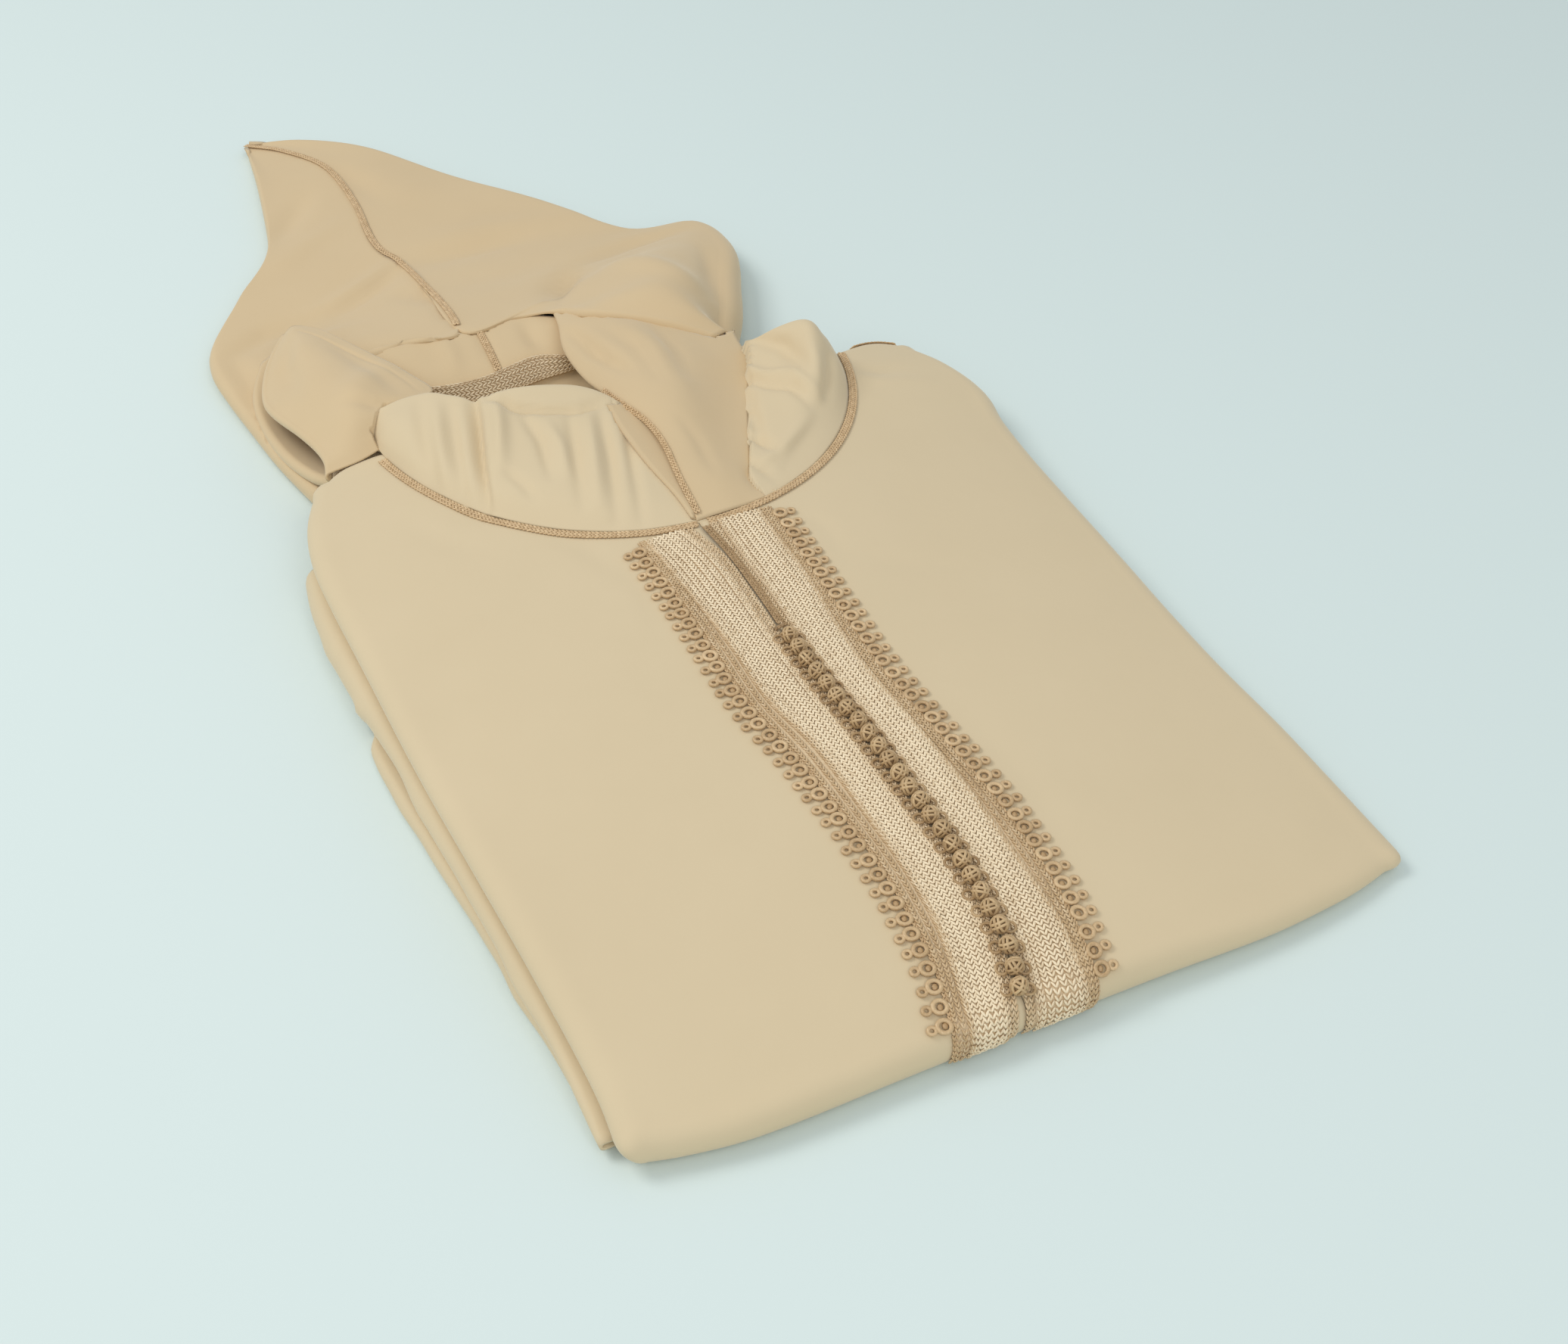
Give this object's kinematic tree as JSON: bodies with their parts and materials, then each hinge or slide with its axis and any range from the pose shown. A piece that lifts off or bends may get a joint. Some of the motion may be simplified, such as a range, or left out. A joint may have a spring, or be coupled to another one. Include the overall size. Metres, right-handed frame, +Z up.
{
  "type": "folded djellaba",
  "caption": "Folded hooded robe with its pointed hood laid out above the packet, braided centre bands, ball knots and looped edging.",
  "frame": {"origin": "on the flat underside, in the middle of the folded packet", "axes": "+X across the garment to the viewer's right, +Y up the garment towards the hood's tip, +Z up off the surface it lies on"},
  "size_m": [0.4259, 0.9318, 0.0687],
  "materials": {
    "crepe": "matte fine crepe, peach beige",
    "trim": "silky champagne braid with a soft sheen",
    "knot": "silky cord, brown gold"
  },
  "bodies": {
    "root": {"band_left": "trim", "band_right": "trim", "crown_braid_back": "trim", "crown_braid_front": "trim", "face_braid": "trim", "folded_layers": "crepe", "front_left": "crepe", "front_right": "crepe", "hood_back_left": "crepe", "hood_back_right": "crepe", "hood_brim": "crepe", "hood_cheek_left": "crepe", "hood_side_fold": "crepe", "knot_01": "knot", "knot_02": "knot", "knot_03": "knot", "knot_04": "knot", "knot_05": "knot", "knot_06": "knot", "knot_07": "knot", "knot_08": "knot", "knot_09": "knot", "knot_10": "knot", "knot_11": "knot", "knot_12": "knot", "knot_13": "knot", "knot_14": "knot", "knot_15": "knot", "knot_16": "knot", "knot_17": "knot", "knot_18": "knot", "knot_19": "knot", "knot_20": "knot", "knot_21": "knot", "knot_22": "knot", "knot_23": "knot", "knot_24": "knot", "knot_25": "knot", "neck_cord_left": "trim", "neck_cord_right": "trim", "neck_right": "crepe", "picots_left": "trim", "picots_right": "trim", "placket_cord": "knot", "shoulder_braid_left": "trim", "shoulder_braid_right": "trim", "side_fold_lower": "crepe", "side_fold_upper": "crepe", "throat_cord_right": "trim", "throat_facing_left": "crepe", "throat_left": "crepe", "throat_right": "crepe"}
  },
  "joints": []
}
